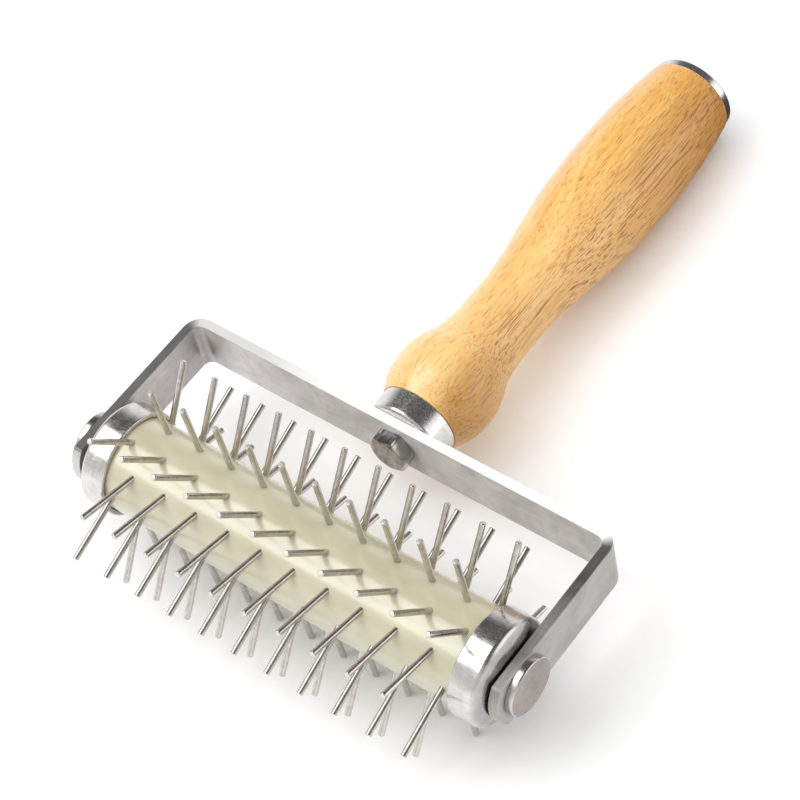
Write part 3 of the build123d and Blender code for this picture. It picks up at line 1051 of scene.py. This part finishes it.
def studio_shell():
    """Room round the tool that only its gloss sees: dark overhead, pale low down and in front."""
    material, tree, shader = finish("studio_cloth", Roughness=1.0)
    where = add(tree, "ShaderNodeTexCoord").outputs["Object"]
    parts = add(tree, "ShaderNodeSeparateXYZ", {"Vector": where})
    front = spread(tree, parts.outputs["Y"], *SHELL_FRONT, 1, 0)
    low = spread(tree, parts.outputs["Z"], *SHELL_LOW, 1, 0)
    pale = maths(tree, "MAXIMUM", front, maths(tree, "MULTIPLY", low, 0.8))
    feed(tree, shader, Base_Color=mixed(tree, pale, colour(98, 98, 97), colour(232, 231, 228)))
    bm = bmesh.new()
    turns = [radians(turn) for turn in range(SHELL_RISE, 90 + SHELL_STEP, SHELL_STEP)]
    arc = [bm.verts.new((0, SHELL_REACH * cos(turn), SHELL_REACH * sin(turn))) for turn in turns]
    edges = [bm.edges.new(pair) for pair in zip(arc, arc[1:])]
    whole = {"cent": (0, 0, 0), "axis": (0, 0, 1), "angle": 2 * pi, "steps": SHELL_SIDES}
    bmesh.ops.spin(bm, geom=arc + edges, use_merge=True, **whole)
    made = stage_piece("studio_shell", bm, material)
    made.data.shade_smooth()
    only_gloss_sees(made)


def lamp(name, place, along, length, width, power, mirrored_too):
    """Soft rectangular lamp that looks at the tool, its length lying along a direction."""
    data = bpy.data.lights.new(name, "AREA")
    data.shape = "RECTANGLE"
    data.size = length
    data.size_y = width
    data.energy = power
    made = bpy.data.objects.new(name, data)
    scene.collection.objects.link(made)
    back = (Vector(place) - Vector(LAMP_AIM)).normalized()
    side = (Vector(along) - Vector(along).project(back)).normalized()
    turn = Matrix((side, back.cross(side), back)).transposed().to_4x4()
    made.matrix_world = Matrix.Translation(place) @ turn
    made.visible_camera = False
    made.visible_glossy = mirrored_too


def lights():
    """The soft lamps."""
    for values in LAMPS:
        lamp(*values)


def sky():
    """White wherever the camera, metal or gloss looks; a plainer level lights the rest."""
    world = bpy.data.worlds.new("studio")
    scene.world = world
    world.use_nodes = True
    tree = world.node_tree
    path = add(tree, "ShaderNodeLightPath")
    seen = maths(tree, "MAXIMUM", path.outputs["Is Camera Ray"], path.outputs["Is Glossy Ray"])
    seen = maths(tree, "MAXIMUM", seen, path.outputs["Is Transmission Ray"])
    shader = tree.nodes["Background"]
    shader.inputs["Color"].default_value = (1, 1, 1, 1)
    feed(tree, shader, Strength=spread(tree, seen, 0, 1, SKY_LEVEL, 1.0))


def camera():
    """The photograph's view."""
    data = bpy.data.cameras.new("camera")
    data.lens = CAMERA_LENS
    data.sensor_width = CAMERA_SENSOR
    data.clip_start = CAMERA_NEAR * MM
    made = bpy.data.objects.new("camera", data)
    scene.collection.objects.link(made)
    place = Vector(CAMERA_PLACE) * MM
    aim = Vector(CAMERA_AIM) * MM
    look = (aim - place).to_track_quat("-Z", "Y").to_matrix().to_4x4()
    roll = Matrix.Rotation(radians(CAMERA_ROLL), 4, "Z")
    made.matrix_world = LIE @ Matrix.Translation(place) @ look @ roll
    scene.camera = made


def carried_over():
    """Finishes of the CAD nodes that stay as they are."""
    bearing = brass()
    inner = steel("insert_steel_finish", colour(176, 174, 170), colour(120, 118, 114), 0.35, "y", 0.1)
    for node, material in (("bush_left", bearing), ("bush_right", bearing), ("handle_insert", inner)):
        slots = frame["nodes"][node].data.materials
        slots.clear()
        slots.append(material)


def roller():
    """The pieces that turn on the axle."""
    direction, tip = resting_direction()
    wires = [pin_steel(), cut_steel()]
    for row in range(ROW_COUNT):
        pin_row(row, direction, tip, wires)
    core(pale_plastic())
    # The cups' faces are painted at 0.6 of their bands' tone, as painted shade
    cups(polished_steel("polished_cup", haze=0.16, fine=1.0, face=0.6))


def strip_metals():
    """Finishes of the strip's faces and of its edges."""
    # Each pair is a lit and a shaded copy of one steel: painted light on the crossbar and the left arm's faces,
    # painted shade on the right arm
    lit_face_tones = (colour(196, 191, 190), colour(236, 232, 231))
    shaded_face_tones = (colour(164, 161, 159), colour(198, 195, 192))
    lit_edge_tones = (colour(244, 243, 241), colour(252, 252, 251))
    shaded_edge_tones = (colour(142, 141, 138), colour(198, 196, 193))
    # The edges' painted shade darkens the left arm and the crossbar's left end; the rest sets how metallic the
    # edges are
    edge_wear_and_shade = {"bare": 0.34, "end_bare": 0.4, "left_arm": 0.78, "left_bar_shade": 0.7}
    return [
        strip_steel("satin_strip", lit_face_tones, shaded_face_tones, 0.47, 0.46),
        strip_steel("strip_edge", lit_edge_tones, shaded_edge_tones, 0.64, 0.42, **edge_wear_and_shade),
    ]


def head_metals():
    """Finishes of the axle and its heads' sides, and of the heads' faces, whose darker tint is painted shade."""
    return [
        steel("head_side", colour(214, 210, 206), colour(180, 174, 169), 0.12, "x", 0.08),
        steel("head_face", colour(176, 169, 164), colour(136, 130, 126), 0.16, "y", 0.08, warmth=0.18),
    ]


def bolt_metals():
    """Finishes of the bolt's sides and of its face: a lighter and a darker copy of one plated steel, as painted
    light and shade.
    """
    return [
        bolt_steel("bolt_side", colour(142, 144, 142), colour(212, 213, 210)),
        bolt_steel("bolt_face", colour(124, 110, 102), colour(200, 187, 179)),
    ]


def fixed_side():
    """The pieces that don't turn."""
    strip(strip_metals())
    axle_pieces(head_metals())
    bolt(bolt_metals())
    ferrule(polished_steel("polished_ferrule", haze=0.3, fine=1.5))
    handle(lacquered_wood())
    end_cap(polished_steel("polished_cap", haze=0.1, fine=1.0))


roller()
fixed_side()
carried_over()
floor()
dark_card()
studio_shell()
lights()
sky()
camera()
scene.view_settings.view_transform = "Standard"
